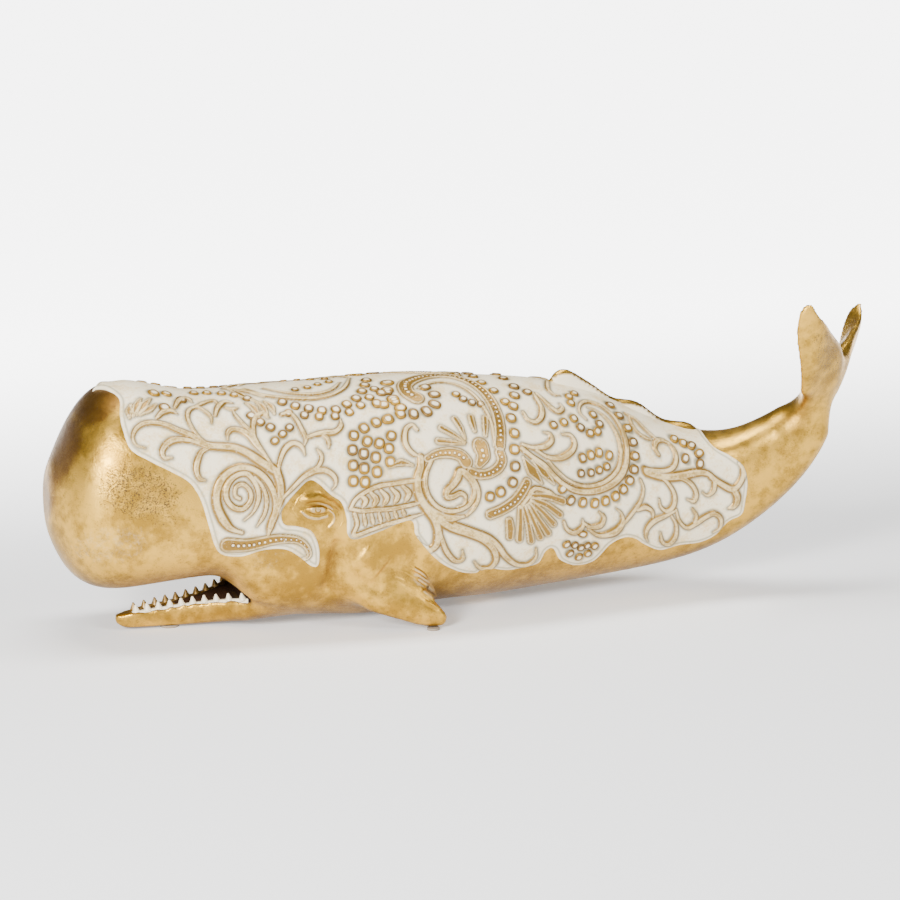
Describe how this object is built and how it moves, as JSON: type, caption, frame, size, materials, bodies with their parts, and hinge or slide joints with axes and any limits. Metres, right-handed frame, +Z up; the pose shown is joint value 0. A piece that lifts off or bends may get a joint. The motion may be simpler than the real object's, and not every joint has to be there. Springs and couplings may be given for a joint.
{
  "type": "whale figurine",
  "caption": "Cast sperm whale ornament with an open toothed jaw, lifted tail and a raised scrollwork mantle over its back, standing on felt pads.",
  "frame": {"origin": "on the table, under the middle of the felt pad below the whale's chest", "axes": "+X from the snout to the tail, +Y to the whale's right, +Z up"},
  "size_m": [0.4178, 0.1144, 0.1505],
  "materials": {
    "gold_leaf": "satin gold leaf with a dark patina, over cast resin",
    "ivory_relief": "satin ivory, the raised lines rubbed with gold",
    "tooth_white": "satin ivory",
    "plug_resin": "gold painted resin",
    "dowel_steel": "plain drawn rod",
    "pad_felt": "short dark felt"
  },
  "bodies": {
    "root": {"body_casting": "gold_leaf", "relief_mantle": "ivory_relief", "lower_jaw": "gold_leaf", "left_tooth_row": "tooth_white", "right_tooth_row": "tooth_white", "left_flipper": "gold_leaf", "right_flipper": "gold_leaf", "tail_flukes": "gold_leaf", "left_flipper_dowel": "dowel_steel", "right_flipper_dowel": "dowel_steel", "left_jaw_dowel": "dowel_steel", "right_jaw_dowel": "dowel_steel", "tail_dowel": "dowel_steel", "pour_hole_plug": "plug_resin", "jaw_pad": "pad_felt", "chest_pad": "pad_felt", "left_flipper_pad": "pad_felt", "right_flipper_pad": "pad_felt"}
  },
  "joints": []
}
